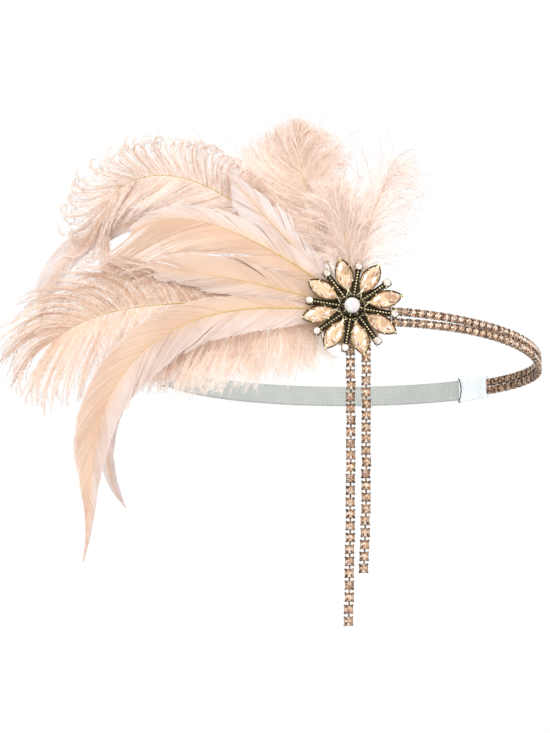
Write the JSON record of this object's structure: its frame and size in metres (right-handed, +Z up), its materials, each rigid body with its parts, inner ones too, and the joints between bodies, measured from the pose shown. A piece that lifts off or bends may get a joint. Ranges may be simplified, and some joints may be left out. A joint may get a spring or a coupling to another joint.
{
  "type": "flapper feather headband",
  "caption": "headband of stretch elastic and crystal cup chain, with a flower brooch, a fan of goose, ostrich and marabou feathers, and hanging crystal strands",
  "frame": {"origin": "centre of the head opening, level with the middle of the band's height", "axes": "+Z up as worn, -Y forwards out of the brooch, +X to the right as the brooch is seen from the front; the feathers sweep towards -X"},
  "size_m": [0.2506, 0.1607, 0.2559],
  "materials": {
    "peach_feather": "matte peach goose vane with a soft sheen",
    "blush_feather": "matte blush goose vane with a soft sheen",
    "plume": "soft peach and blush barbs with darker curled tips",
    "felt": "matte peach felt",
    "elastic": "ribbed pale grey-green stretch elastic",
    "tab_fabric": "smooth white woven tape",
    "rose_gold_chain": "polished rose gold cups with champagne crystals",
    "antique_brass": "dark antique brass with bright worn edges",
    "champagne_glass": "foiled champagne crystal, facetted",
    "clear_glass": "foiled clear crystal, facetted",
    "pearl": "white imitation pearl"
  },
  "bodies": {
    "root": {"elastic_band": "elastic", "end_tab_right": "tab_fabric", "end_tab_left": "tab_fabric", "crystal_row_upper": "rose_gold_chain", "crystal_row_lower": "rose_gold_chain", "feather_pad": "felt", "brooch_frame": "antique_brass", "centre_pearl": "pearl", "petal_stone_1": "champagne_glass", "petal_stone_2": "champagne_glass", "petal_stone_3": "champagne_glass", "petal_stone_4": "champagne_glass", "petal_stone_5": "champagne_glass", "petal_stone_6": "champagne_glass", "petal_stone_7": "champagne_glass", "petal_stone_8": "champagne_glass", "round_stone_1": "clear_glass", "round_stone_2": "clear_glass", "round_stone_3": "clear_glass", "round_stone_4": "clear_glass", "round_stone_5": "clear_glass", "round_stone_6": "clear_glass", "round_stone_7": "clear_glass", "round_stone_8": "clear_glass", "strand_long": "rose_gold_chain", "strand_short": "rose_gold_chain", "goose_drooping": "peach_feather", "goose_upper": "peach_feather", "goose_hooked": "peach_feather", "goose_middle": "blush_feather", "goose_long": "blush_feather", "goose_short": "blush_feather", "goose_sickle": "blush_feather", "marabou_upper": "plume", "plume_left": "plume", "plume_right": "plume", "marabou_lower": "plume", "plume_upper": "plume", "plume_top": "plume"}
  },
  "joints": []
}
